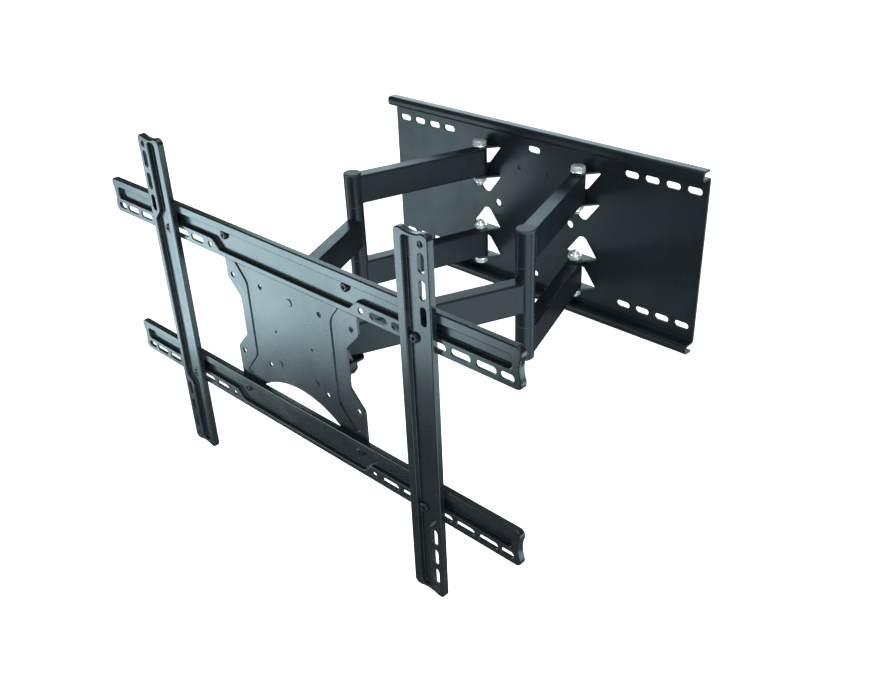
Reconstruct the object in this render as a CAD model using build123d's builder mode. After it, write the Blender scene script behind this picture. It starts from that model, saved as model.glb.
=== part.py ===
"""Full motion television wall mount: a wall plate, two pairs of folding arms and a tilting head.

The origin is the centre of the wall plate's back face. X runs along the wall, +Y points into the
wall, so the mount reaches towards -Y, and +Z is up. All sizes are in millimetres.
"""

from build123d import *

import math
import os

# ---------------------------------------------------------------- driving dimensions

# wall plate
plate_width = 514.0
plate_sheet = 2.5
plate_half_height = 121.0
roll_depth = 19.0             # wall to the front face of the rolled edge
roll_face_height = 13.0       # height of the rolled edge's front face, over its sheet
roll_lip = 13.0               # length of the lip that turns back towards the wall
roll_radius = 3.5             # of the sheet's middle, at each bend

wall_slot_x = [152.0, 181.0, 210.0, 239.0]
wall_slot_z = 89.5
wall_slot_length = 20.0
wall_slot_width = 8.5
level_hole_x = 62.0
level_hole_radius = 5.0
dimple_x = 24.0
dimple_z = 60.0
dimple_radius = 3.2
dimple_depth = 1.2

# ears, cut out of the wall plate and bent forward to carry the arms
pivot_x = 82.5                # wall pivots from the middle
pivot_reach = 17.0            # wall pivots from the wall
ear_root = 49.0
ear_tip_radius = 9.0
outer_ear_z = 80.5            # inner faces of the two ears that hold an arm
inner_ear_z = 40.5

# arms
rear_length = 190.0           # wall pivot to elbow
front_length = 215.75         # elbow to head pivot
head_pivot_x = 57.5
rear_angle = 18.5             # rest angle of the rear arms, outwards from straight out
tube_width = 20.0
rear_tube_height = 38.0
front_tube_height = 39.0
tube_wall = 2.0
tube_corner = 2.5
tube_end_radius = 10.0
tube_plug = 3.0               # solid end of a tube round its bearing
sleeve_radius = 11.5
seam_z = 38.0                 # middle of the gap between the elbow's sleeves
seam_gap = 1.0
sleeve_top_z = 80.0
cap_height = 3.0
cap_round = 1.6
cap_spigot = 4.0

# fasteners and bearings
pivot_bolt_radius = 5.0
pivot_bolt_flats = 16.0
pivot_head_height = 6.4
pivot_nut_height = 8.0
pivot_washer_radius = 10.0
pivot_washer_sheet = 1.5
pivot_bolt_tail = 3.0         # thread that stands out of the nut
elbow_pin_radius = 6.0
bushing_wall = 2.5
bushing_length = 14.0
bushing_flange_radius = 9.5
running_clearance = 0.05      # radial, between a pin and the bushing that turns on it
seat_clearance = 0.02         # radial, between pieces that are pressed or screwed together
hole_clearance = 0.3          # radial, between a bolt and the sheet that it clamps
face_clearance = 0.1          # axial, between pieces that turn against each other
open_pivot_clearance = 1.5    # radial, in the pivot that closes the linkage's loop

# arm bracket, which joins the two front arms and carries the tilt pins
head_reach = 28.0             # head pivots to the front of the centre plate
bracket_sheet = 2.5
bracket_half_width = 75.5
bracket_web_gap = 0.8         # ends of the front arms to the bracket's web
bracket_ear_reach = 11.0      # bracket's flanges past the head pivots
bracket_ear_round = 8.0

# tilt pins
head_z = -13.0                # centre of the head
tilt_drop = 6.0               # tilt pins below the head's centre
tilt_setback = 10.5           # tilt pins behind the front of the centre plate
tilt_pin_radius = 4.0
tilt_lug_radius = 6.8
tilt_lug_root_drop = 4.0      # foot of the lug below the tilt pins
tilt_washer_radius = 7.4
tilt_washer_gap = 1.0         # lug to the frame's cheek, filled by the friction washer
tilt_head_flats = 13.0
tilt_head_height = 5.3
tilt_outer_washer_sheet = 1.2
tilt_nut_height = 6.5
tilt_bolt_tail = 2.0
nut_pocket = 1.5              # room round the tilt nut in the bracket

# tilt frame, riveted behind the centre plate
frame_sheet = 2.0
frame_half_height = 40.0
frame_window_half_height = 28.0
frame_tab_half_width = 36.0
frame_tab_height = 51.0
frame_tab_taper = 12.0
frame_cheek_half_height = 34.0
frame_cheek_round = 7.4

# centre plate
centre_sheet = 2.5
centre_half_width = 110.0
centre_half_waist = 89.5
centre_half_height = 112.0
waist_half_height = 24.0
shoulder_half_height = 46.0
centre_corner = 6.0
arch_crown = 63.3             # crown of the lower edge's arch below the plate's centre
arch_radius = 119.0
screen_hole_radius = 3.3
outer_hole_x = 100.0
inner_hole_x = 50.0
screen_hole_z = 50.0
groove_x = 71.0
groove_bend_z = 49.0
groove_end_x = 95.0
groove_end_z = 78.0
groove_width = 9.0
groove_depth = 1.3
witness_hole_x = 31.0
witness_hole_radius = 1.6
rivet_spots = [(0.0, 47.0), (-31.5, -42.5), (31.5, -42.5)]
rivet_radius = 2.4
rivet_head_radius = 4.5
rivet_head_height = 0.9

# rails: one pressed section, lying as a rail and standing as an upright
rail_sheet = 2.0
rail_depth = 7.0
bolt_side = 16.5              # bolt line to the edge beside it
slot_side = 26.5              # bolt line to the edge beside the slots
rail_half_length = 326.0
upright_half_length = 210.0
rail_corner = 6.0
rail_edge_round = 1.4
rail_end_radius = 35.0        # of the shallow hollow in each end
rail_end_sag = 2.4
trough_bolt_side = 6.5        # bolt line to the trough's edge beside it
trough_wide = 19.5            # bolt line to the trough's other edge, between the bolts
trough_narrow = 8.2           # the same, beside the slots
trough_step_start = 108.0
trough_step_end = 120.0
trough_step_round = 7.0
trough_end_round = 5.0
trough_draft = 12.0           # slope of the trough's walls, degrees
trough_rim_round = 0.9        # rolled edge where the trough leaves the face
rail_trough_end = 11.0        # trough's end to the rail's end
upright_trough_end = 6.0
bolt_pitch = 100.0            # rail bolts from the middle of a rail
slot_line = 17.0              # bolt line to the slots' centre line
rail_slot_width = 8.0
rail_slot_length = 24.0
rail_slots = [150.0, 180.0, 226.5, 256.0, 286.0]
rail_end_slot_length = 16.0
rail_end_slot = 310.0
rail_near_hole = 125.0
upright_x = 202.0             # uprights' bolt line from the middle, and the rails' hole for it
rail_hole_radius = 3.5
upright_slot_length = 20.0
upright_slots = [129.0, 155.5, 182.0]
upright_hole = 200.0
rail_notch_x = 85.0           # small notch in each rail's trough, beside one bolt
rail_notch_line = 4.2         # bolt line to the notch's centre line
rail_notch_length = 8.0
rail_notch_width = 2.0

# rail bolts
rail_bolt_radius = 3.0
rail_bolt_head_radius = 5.4
rail_bolt_head_height = 3.3
rail_bolt_head_round = 2.0
rail_bolt_socket_flats = 4.0
rail_bolt_socket_depth = 2.0
rail_nut_flats = 10.0
rail_nut_height = 4.4
rail_bolt_tail = 1.0

# cable clip on the lower left rear arm
clip_along = 118.0            # wall pivot to the clip
clip_length = 14.0
clip_sheet = 1.6
clip_lip = 7.0                # how far the clip reaches down the tube's sides
clip_fit = 0.05
clip_ridge_radius = 3.0

# ---------------------------------------------------------------- places worked out from them

sides = {"left": -1, "right": 1}
levels = {"upper": 1, "lower": -1}

elbow_x = pivot_x + rear_length * math.sin(math.radians(rear_angle))
elbow_y = -pivot_reach - rear_length * math.cos(math.radians(rear_angle))
front_angle = math.degrees(math.asin((elbow_x - head_pivot_x) / front_length))
head_pivot_y = elbow_y - front_length * math.cos(math.radians(front_angle))

bushing_radius = pivot_bolt_radius + running_clearance + bushing_wall
elbow_bushing_radius = elbow_pin_radius + running_clearance + bushing_wall
rear_tube_z = (inner_ear_z + outer_ear_z - rear_tube_height) / 2
rear_flange_sheet = rear_tube_z - inner_ear_z - face_clearance
sleeve_end_z = seam_z + seam_gap / 2
front_sleeve_half = seam_z - seam_gap / 2
elbow_flange_sheet = seam_gap - face_clearance
front_flange_sheet = 0.9
bracket_ear_z = front_tube_height / 2 + front_flange_sheet + face_clearance

centre_front_y = head_pivot_y - head_reach
centre_back_y = centre_front_y + centre_sheet
rail_front_y = centre_front_y - rail_depth
tilt_y = centre_front_y + tilt_setback
tilt_z = head_z - tilt_drop
bracket_back_y = head_pivot_y - tube_end_radius - bracket_web_gap
bracket_front_y = bracket_back_y - bracket_sheet
cheek_inner_x = bracket_half_width + tilt_washer_gap
cheek_outer_x = cheek_inner_x + frame_sheet
upright_z = head_z - slot_line


# ---------------------------------------------------------------- shared shapes


def add_disc(plane, radius, height):
    """Adds a round pin, shank or head that stands on the plane."""
    with BuildSketch(plane) as section:
        Circle(radius)
    extrude(section.sketch, amount=height)


def add_ring(plane, outer, inner, height):
    """Adds a washer or a sleeve that stands on the plane."""
    with BuildSketch(plane) as section:
        Circle(outer)
        Circle(inner, mode=Mode.SUBTRACT)
    extrude(section.sketch, amount=height)


def add_hexagon(plane, flats, height, bore=0.0):
    """Adds a hexagon head or nut that stands on the plane."""
    with BuildSketch(plane) as section:
        RegularPolygon(flats / 2, 6, major_radius=False)
        if bore:
            Circle(bore, mode=Mode.SUBTRACT)
    extrude(section.sketch, amount=height)


def add_flanged_bushing(plane, bore, flange_sheet, flange_radius):
    """Adds a bushing whose flange stands on the plane and whose barrel hangs below it."""
    add_ring(plane, flange_radius, bore, flange_sheet)
    add_ring(plane, bore + bushing_wall, bore, -bushing_length)


def finish(builder, name):
    """Names a finished sub-part and writes it to its own file."""
    builder.part.label = name
    export_step(builder.part, "parts/" + name + ".step")


def upright_plane(x, y, z, up=1):
    """A level plane at a point, with its normal up or down."""
    return Plane(origin=(x, y, z), x_dir=(1, 0, 0), z_dir=(0, 0, up))


def rear_plane(side, level, z):
    """A level plane at a wall pivot, with its X along the rear arm and its normal away from z = 0."""
    reach = math.radians(rear_angle)
    return Plane(
        origin=(side * pivot_x, -pivot_reach, level * z),
        x_dir=(side * math.sin(reach), -math.cos(reach), 0),
        z_dir=(0, 0, level),
    )


def front_plane(side, z):
    """A level plane at an elbow, with its X along the front arm and its normal up."""
    reach = math.radians(front_angle)
    return Plane(
        origin=(side * elbow_x, elbow_y, z),
        x_dir=(-side * math.sin(reach), -math.cos(reach), 0),
        z_dir=(0, 0, 1),
    )


def front_facing_plane(x, y, z):
    """An upright plane at a point, facing the viewer in front of the mount."""
    return Plane(origin=(x, y, z), x_dir=(1, 0, 0), z_dir=(0, -1, 0))


# ---------------------------------------------------------------- wall plate and its fasteners


def add_ear_outline():
    """Adds a tapered tab to a sketch: wide at the local X axis, round about its pivot."""
    rise = math.asin(ear_tip_radius / math.hypot(pivot_reach, ear_root / 2))
    slope = rise + math.atan2(pivot_reach, ear_root / 2)
    touch = (ear_tip_radius * math.sin(slope), pivot_reach + ear_tip_radius * math.cos(slope))
    with BuildLine() as edge:
        right = Line((ear_root / 2, 0), touch)
        tip = ThreePointArc(touch, (0, pivot_reach + ear_tip_radius), (-touch[0], touch[1]))
        Line(tip @ 1, (-ear_root / 2, 0))
        Line((-ear_root / 2, 0), right @ 0)
    make_face(edge.edges())


def ear_roots():
    """Yields side, level and height for the eight ears' lower faces, measured towards the edges."""
    for side in sides.values():
        for level in levels.values():
            for root in (outer_ear_z, inner_ear_z - plate_sheet):
                yield side, level, root


def build_wall_plate():
    """The plate with its rolled edges, wall slots and eight bent ears."""
    middle_y = -plate_sheet / 2
    nose_y = -roll_depth - middle_y
    lip_z = plate_half_height + middle_y
    bend_z = lip_z - roll_face_height + plate_sheet
    slots = [(x * side, z) for x in wall_slot_x for side in (-1, 1) for z in (-wall_slot_z, wall_slot_z)]
    with BuildPart() as plate:
        with BuildSketch(Plane.YZ.offset(-plate_width / 2)):
            with BuildLine() as bends:
                FilletPolyline(
                    (middle_y, 0),
                    (middle_y, bend_z),
                    (nose_y, bend_z),
                    (nose_y, lip_z),
                    (nose_y + roll_lip, lip_z),
                    radius=roll_radius,
                )
            trace(bends.wires(), line_width=plate_sheet)
            mirror(about=Plane.XZ)
        extrude(amount=plate_width)
        with BuildSketch(Plane.XZ):
            with Locations(*slots, (0, wall_slot_z), (0, -wall_slot_z)):
                SlotOverall(wall_slot_length, wall_slot_width)
            with Locations((-level_hole_x, 0), (level_hole_x, 0)):
                Circle(level_hole_radius)
        extrude(amount=plate_sheet, mode=Mode.SUBTRACT)
        with BuildSketch(Plane.XZ.offset(plate_sheet)):
            with Locations((-dimple_x, dimple_z), (dimple_x, dimple_z)):
                Circle(dimple_radius)
        extrude(amount=-dimple_depth, mode=Mode.SUBTRACT)
        for side, level, root in ear_roots():
            origin = (side * pivot_x, 0, level * root)
            with BuildSketch(Plane(origin=origin, x_dir=(1, 0, 0), z_dir=(0, level, 0))):
                add_ear_outline()
            extrude(amount=plate_sheet, both=True, mode=Mode.SUBTRACT)
        for side, level, root in ear_roots():
            origin = (side * pivot_x, 0, level * root)
            with BuildSketch(Plane(origin=origin, x_dir=(-level, 0, 0), z_dir=(0, 0, level))):
                add_ear_outline()
                with Locations((0, pivot_reach)):
                    Circle(pivot_bolt_radius + hole_clearance, mode=Mode.SUBTRACT)
            extrude(amount=plate_sheet)
    finish(plate, "wall_plate")


def build_wall_fasteners():
    """Bolts, washers and nuts of the four wall pivots."""
    outer_face = outer_ear_z + plate_sheet
    nut_face = inner_ear_z - plate_sheet
    head_face = outer_face + pivot_washer_sheet
    shank = head_face - nut_face + pivot_nut_height + pivot_bolt_tail
    spots = [(side * pivot_x, level) for side in sides.values() for level in levels.values()]
    with BuildPart() as bolts:
        for x, level in spots:
            head = upright_plane(x, -pivot_reach, level * head_face, level)
            add_hexagon(head, pivot_bolt_flats, pivot_head_height)
            add_disc(head, pivot_bolt_radius, -shank)
    finish(bolts, "wall_pivot_bolts")
    with BuildPart() as washers:
        for x, level in spots:
            seat = upright_plane(x, -pivot_reach, level * outer_face, level)
            add_ring(seat, pivot_washer_radius, pivot_bolt_radius + hole_clearance, pivot_washer_sheet)
    finish(washers, "wall_pivot_washers")
    with BuildPart() as nuts:
        for x, level in spots:
            seat = upright_plane(x, -pivot_reach, level * nut_face, -level)
            add_hexagon(seat, pivot_bolt_flats, pivot_nut_height, pivot_bolt_radius + seat_clearance)
    finish(nuts, "wall_pivot_nuts")


# ---------------------------------------------------------------- arms


def build_rear_arm(name, side, level):
    """A rear arm: a square tube, rounded at the wall pivot, with half of the elbow welded on."""
    floor = rear_plane(side, level, rear_tube_z)
    cavity_start = bushing_radius + tube_plug
    cavity_end = rear_length - sleeve_radius
    cavity = (cavity_end - cavity_start, tube_width - 2 * tube_wall)
    with BuildPart() as arm:
        with BuildSketch(floor):
            with Locations((rear_length / 2, 0)):
                Rectangle(rear_length, tube_width)
            Circle(tube_end_radius)
        extrude(amount=rear_tube_height)
        fillet(arm.faces().filter_by(Axis.Z).edges(), radius=tube_corner)
        with BuildSketch(floor.offset(tube_wall)):
            with Locations(((cavity_start + cavity_end) / 2, 0)):
                Rectangle(*cavity)
        extrude(amount=rear_tube_height - 2 * tube_wall, mode=Mode.SUBTRACT)
        with BuildSketch(rear_plane(side, level, sleeve_end_z)):
            with Locations((rear_length, 0)):
                Circle(sleeve_radius)
        extrude(amount=sleeve_top_z - sleeve_end_z)
        with BuildSketch(rear_plane(side, level, sleeve_end_z)):
            with Locations((rear_length, 0)):
                Circle(elbow_pin_radius + seat_clearance)
            Circle(bushing_radius + seat_clearance)
        extrude(amount=sleeve_top_z - sleeve_end_z, mode=Mode.SUBTRACT)
    finish(arm, name)


def build_front_arm(name, side):
    """A front arm: a square tube between the middle of the elbow and the head pivot."""
    floor = front_plane(side, -front_tube_height / 2)
    cavity_start = sleeve_radius
    cavity_end = front_length - bushing_radius - tube_plug
    cavity = (cavity_end - cavity_start, tube_width - 2 * tube_wall)
    with BuildPart() as arm:
        with BuildSketch(floor):
            with Locations((front_length / 2, 0)):
                Rectangle(front_length, tube_width)
            with Locations((front_length, 0)):
                Circle(tube_end_radius)
        extrude(amount=front_tube_height)
        fillet(arm.faces().filter_by(Axis.Z).edges(), radius=tube_corner)
        with BuildSketch(floor.offset(tube_wall)):
            with Locations(((cavity_start + cavity_end) / 2, 0)):
                Rectangle(*cavity)
        extrude(amount=front_tube_height - 2 * tube_wall, mode=Mode.SUBTRACT)
        with BuildSketch(front_plane(side, -front_sleeve_half)):
            Circle(sleeve_radius)
        extrude(amount=2 * front_sleeve_half)
        with BuildSketch(front_plane(side, -front_sleeve_half)):
            Circle(elbow_bushing_radius + seat_clearance)
            with Locations((front_length, 0)):
                Circle(bushing_radius + seat_clearance)
        extrude(amount=2 * front_sleeve_half, mode=Mode.SUBTRACT)
    finish(arm, name)


def build_shoulder_bushings(name, side):
    """Four flanged bushings, two in each rear arm, that turn on the wall pivot bolts."""
    bore = pivot_bolt_radius + running_clearance
    with BuildPart() as bushings:
        for level in levels.values():
            for end, way in ((rear_tube_z, -level), (rear_tube_z + rear_tube_height, level)):
                seat = upright_plane(side * pivot_x, -pivot_reach, level * end, way)
                add_flanged_bushing(seat, bore, rear_flange_sheet, bushing_flange_radius)
    finish(bushings, name)


def build_elbow_bushings(name, side):
    """Two flanged bushings, pressed into the front arm's sleeve, that turn on the elbow pin."""
    bore = elbow_pin_radius + running_clearance
    with BuildPart() as bushings:
        for level in levels.values():
            seat = upright_plane(side * elbow_x, elbow_y, level * front_sleeve_half, level)
            add_flanged_bushing(seat, bore, elbow_flange_sheet, sleeve_radius)
    finish(bushings, name)


def build_head_bushings(name, side, clearance):
    """Two flanged bushings at the head end of a front arm, with the given radial clearance."""
    bore = pivot_bolt_radius + clearance
    wall = bushing_radius - bore
    with BuildPart() as bushings:
        for level in levels.values():
            seat = upright_plane(side * head_pivot_x, head_pivot_y, level * front_tube_height / 2, level)
            add_ring(seat, bushing_flange_radius, bore, front_flange_sheet)
            add_ring(seat, bore + wall, bore, -bushing_length)
    finish(bushings, name)


def build_elbow_pin(name, side):
    """The pin through all three sleeves of an elbow."""
    half = sleeve_top_z - cap_spigot
    with BuildPart() as pin:
        add_disc(upright_plane(side * elbow_x, elbow_y, -half), elbow_pin_radius, 2 * half)
    finish(pin, name)


def build_elbow_caps(name, side):
    """Rounded caps on the top and bottom of an elbow, each with a spigot in the sleeve."""
    with BuildPart() as caps:
        for level in levels.values():
            seat = upright_plane(side * elbow_x, elbow_y, level * sleeve_top_z, level)
            add_disc(seat, sleeve_radius, cap_height)
            add_disc(seat, elbow_pin_radius, -cap_spigot)
        rims = caps.faces().filter_by(Axis.Z).sort_by(Axis.Z)
        fillet((rims[0].edges() + rims[-1].edges()), radius=cap_round)
    finish(caps, name)


def build_cable_clip():
    """A spring clip that grips the top of the lower left rear arm, with a ridge that cables tie to."""
    side = sides["left"]
    reach = rear_plane(side, 1, 0).x_dir
    top = -rear_tube_z
    half = tube_width / 2 + clip_fit
    origin = Vector(side * pivot_x, -pivot_reach, top) + reach * clip_along
    section = Plane(origin=origin, x_dir=Vector(0, 0, 1).cross(reach), z_dir=reach)
    outer = half + clip_sheet
    with BuildPart() as clip:
        with BuildSketch(section):
            with Locations((0, (clip_sheet + clip_fit - clip_lip) / 2)):
                Rectangle(2 * outer, clip_sheet + clip_fit + clip_lip)
            with Locations((0, clip_fit + clip_sheet)):
                Circle(clip_ridge_radius)
            with Locations((0, -half)):
                Rectangle(2 * half, 2 * (half + clip_fit), mode=Mode.SUBTRACT)
        extrude(amount=clip_length / 2, both=True)
    finish(clip, "cable_clip")


# ---------------------------------------------------------------- arm bracket


def build_arm_bracket():
    """A channel that holds both head pivots, with a lug at each end for the tilt pins."""
    back = head_pivot_y + bracket_ear_reach
    depth = back - bracket_front_y
    height = 2 * (bracket_ear_z + bracket_sheet)
    nut_radius = tilt_head_flats / math.sqrt(3)
    pocket = tilt_nut_height + tilt_bolt_tail + nut_pocket
    pocket_x = bracket_half_width - bracket_sheet - pocket / 2
    with BuildPart() as bracket:
        with BuildSketch(upright_plane(0, back - depth / 2, -height / 2)) as floor:
            Rectangle(2 * bracket_half_width, depth)
            fillet(floor.vertices().group_by(Axis.Y)[-1], radius=bracket_ear_round)
        extrude(amount=height)
        with BuildSketch(Plane.YZ):
            with Locations((bracket_back_y + depth / 2, 0)):
                Rectangle(depth, 2 * bracket_ear_z)
        extrude(amount=bracket_half_width, both=True, mode=Mode.SUBTRACT)
        with BuildSketch(Plane.XY):
            with Locations((-head_pivot_x, head_pivot_y), (head_pivot_x, head_pivot_y)):
                Circle(pivot_bolt_radius + hole_clearance)
        extrude(amount=height, both=True, mode=Mode.SUBTRACT)
        for side in sides.values():
            with BuildSketch(front_facing_plane(side * pocket_x, bracket_front_y, tilt_z)):
                Rectangle(pocket, 2 * (nut_radius + nut_pocket))
            extrude(amount=-(nut_radius + nut_pocket), mode=Mode.SUBTRACT)
        for side in sides.values():
            with BuildSketch(Plane.YZ.offset(side * bracket_half_width)) as lug:
                with Locations((tilt_y, tilt_z)):
                    Circle(tilt_lug_radius)
                with Locations((bracket_front_y + bracket_sheet / 2, tilt_z)):
                    Rectangle(bracket_sheet, 2 * tilt_lug_root_drop)
                make_hull()
                with Locations((tilt_y, tilt_z)):
                    Circle(tilt_pin_radius + seat_clearance, mode=Mode.SUBTRACT)
            extrude(amount=-side * bracket_sheet)
    finish(bracket, "arm_bracket")


def build_head_pivot_fasteners():
    """Bolts, washers and nuts of the two head pivots."""
    outer_face = bracket_ear_z + bracket_sheet
    head_face = outer_face + pivot_washer_sheet
    shank = head_face + outer_face + pivot_nut_height + pivot_bolt_tail
    spots = [side * head_pivot_x for side in sides.values()]
    with BuildPart() as bolts:
        for x in spots:
            head = upright_plane(x, head_pivot_y, head_face)
            add_hexagon(head, pivot_bolt_flats, pivot_head_height)
            add_disc(head, pivot_bolt_radius, -shank)
    finish(bolts, "head_pivot_bolts")
    with BuildPart() as washers:
        for x in spots:
            seat = upright_plane(x, head_pivot_y, outer_face)
            add_ring(seat, pivot_washer_radius, pivot_bolt_radius + hole_clearance, pivot_washer_sheet)
    finish(washers, "head_pivot_washers")
    with BuildPart() as nuts:
        for x in spots:
            seat = upright_plane(x, head_pivot_y, -outer_face, -1)
            add_hexagon(seat, pivot_bolt_flats, pivot_nut_height, pivot_bolt_radius + seat_clearance)
    finish(nuts, "head_pivot_nuts")


def tilt_plane(side, x):
    """An upright plane on the tilt axis at distance x from the middle, facing outwards."""
    return Plane(origin=(side * x, tilt_y, tilt_z), x_dir=(0, 0, 1), z_dir=(side, 0, 0))


def build_tilt_fasteners():
    """Tilt bolts, their nuts inside the bracket, and the friction washers beside the lugs."""
    nut_face = bracket_half_width - bracket_sheet
    head_face = cheek_outer_x + face_clearance + tilt_outer_washer_sheet
    shank = head_face - nut_face + tilt_nut_height + tilt_bolt_tail
    with BuildPart() as bolts:
        for side in sides.values():
            head = tilt_plane(side, head_face)
            add_hexagon(head, tilt_head_flats, tilt_head_height)
            add_disc(head, tilt_pin_radius, -shank)
    finish(bolts, "tilt_bolts")
    with BuildPart() as nuts:
        for side in sides.values():
            seat = tilt_plane(side, nut_face - tilt_nut_height)
            add_hexagon(seat, tilt_head_flats, tilt_nut_height, tilt_pin_radius + seat_clearance)
    finish(nuts, "tilt_nuts")
    with BuildPart() as washers:
        for side in sides.values():
            bore = tilt_pin_radius + seat_clearance
            inner = tilt_plane(side, bracket_half_width)
            add_ring(inner, tilt_lug_radius, bore, tilt_washer_gap - face_clearance)
            outer = tilt_plane(side, cheek_outer_x + face_clearance)
            add_ring(outer, tilt_washer_radius, bore, tilt_outer_washer_sheet)
    finish(washers, "tilt_washers")


# ---------------------------------------------------------------- tilt frame and centre plate


def build_tilt_frame():
    """The frame behind the centre plate, whose cheeks hang on the tilt pins."""
    side_x = frame_tab_half_width + frame_tab_taper
    corners = [
        (cheek_outer_x, frame_half_height),
        (side_x, frame_half_height),
        (frame_tab_half_width, frame_tab_height),
        (-frame_tab_half_width, frame_tab_height),
        (-side_x, frame_half_height),
        (-cheek_outer_x, frame_half_height),
    ]
    outline = corners + [(x, -z) for x, z in reversed(corners)]
    with BuildPart() as frame:
        with BuildSketch(front_facing_plane(0, centre_back_y, head_z)):
            Polygon(*outline, align=None)
            Rectangle(2 * cheek_inner_x, 2 * frame_window_half_height, mode=Mode.SUBTRACT)
            with Locations(*rivet_spots):
                Circle(rivet_radius + seat_clearance, mode=Mode.SUBTRACT)
        extrude(amount=-frame_sheet)
        for side in sides.values():
            with BuildSketch(Plane.YZ.offset(side * cheek_outer_x)):
                with Locations((tilt_y, tilt_z)):
                    Circle(frame_cheek_round)
                with Locations((centre_back_y + frame_sheet / 2, head_z)):
                    Rectangle(frame_sheet, 2 * frame_cheek_half_height)
                make_hull()
                with Locations((tilt_y, tilt_z)):
                    Circle(tilt_pin_radius + running_clearance, mode=Mode.SUBTRACT)
            extrude(amount=-side * frame_sheet)
    finish(frame, "tilt_frame")


def build_centre_plate():
    """The waisted plate at the middle of the head, with its screen holes and pressed grooves."""
    half = [
        (centre_half_width, centre_half_height),
        (centre_half_width, shoulder_half_height),
        (centre_half_waist, waist_half_height),
        (centre_half_waist, -waist_half_height),
        (centre_half_width, -shoulder_half_height),
        (centre_half_width, -centre_half_height),
    ]
    outline = half + [(-x, z) for x, z in reversed(half)]
    small_holes = [(x, z) for x in (-inner_hole_x, inner_hole_x) for z in (-screen_hole_z, screen_hole_z)]
    large_holes = [(x, z) for x in (-outer_hole_x, outer_hole_x) for z in (-screen_hole_z, screen_hole_z)]
    bolt_holes = [(x, z) for x in (-bolt_pitch, bolt_pitch) for z in (-bolt_pitch, bolt_pitch)]
    with BuildPart() as plate:
        with BuildSketch(front_facing_plane(0, centre_front_y, head_z)) as face:
            Polygon(*outline, align=None)
            fillet(face.vertices(), radius=centre_corner)
            with Locations((0, -arch_crown - arch_radius)):
                Circle(arch_radius, mode=Mode.SUBTRACT)
            with Locations(*small_holes, *large_holes):
                Circle(screen_hole_radius, mode=Mode.SUBTRACT)
            with Locations(*bolt_holes):
                Circle(rail_bolt_radius + hole_clearance, mode=Mode.SUBTRACT)
            with Locations((-witness_hole_x, 0), (witness_hole_x, 0)):
                Circle(witness_hole_radius, mode=Mode.SUBTRACT)
            with Locations(*rivet_spots):
                Circle(rivet_radius + seat_clearance, mode=Mode.SUBTRACT)
        extrude(amount=-centre_sheet)
        for side in sides.values():
            with BuildSketch(front_facing_plane(0, centre_front_y, head_z)):
                with BuildLine() as groove:
                    FilletPolyline(
                        (side * groove_end_x, groove_end_z),
                        (side * groove_x, groove_bend_z),
                        (side * groove_x, -groove_bend_z),
                        (side * groove_end_x, -groove_end_z),
                        radius=2 * groove_width,
                    )
                trace(groove.wires(), line_width=groove_width)
            extrude(amount=-groove_depth, mode=Mode.SUBTRACT)
    finish(plate, "centre_plate")


def build_plate_rivets():
    """Three rivets that hold the tilt frame to the centre plate."""
    with BuildPart() as rivets:
        for x, z in rivet_spots:
            front = front_facing_plane(x, centre_front_y, head_z + z)
            back = front_facing_plane(x, centre_back_y + frame_sheet, head_z + z)
            add_disc(front, rivet_radius, -(centre_sheet + frame_sheet))
            add_disc(front, rivet_head_radius, rivet_head_height)
            add_disc(back, rivet_head_radius, -rivet_head_height)
    finish(rivets, "plate_rivets")


# ---------------------------------------------------------------- rails and uprights


def add_trough_outline(half_length, grow=0.0):
    """Adds the trough's outline to a sketch, or one that is larger all round by the given amount."""
    top = trough_bolt_side + grow
    wide = -trough_wide - grow
    narrow = -trough_narrow - grow
    end = half_length + grow
    start_x = trough_step_start + grow
    end_x = trough_step_end + grow
    with BuildSketch() as trough:
        Polygon(
            (-end, top),
            (-end, narrow),
            (-end_x, narrow),
            (-start_x, wide),
            (start_x, wide),
            (end_x, narrow),
            (end, narrow),
            (end, top),
            align=None,
        )
        columns = trough.vertices().group_by(Axis.X)
        fillet(columns[0] + columns[-1], radius=trough_end_round)
        steps = trough.vertices().filter_by_position(Axis.X, -end_x - 1, end_x + 1)
        fillet(steps, radius=trough_step_round)
    add(trough.sketch)


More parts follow.
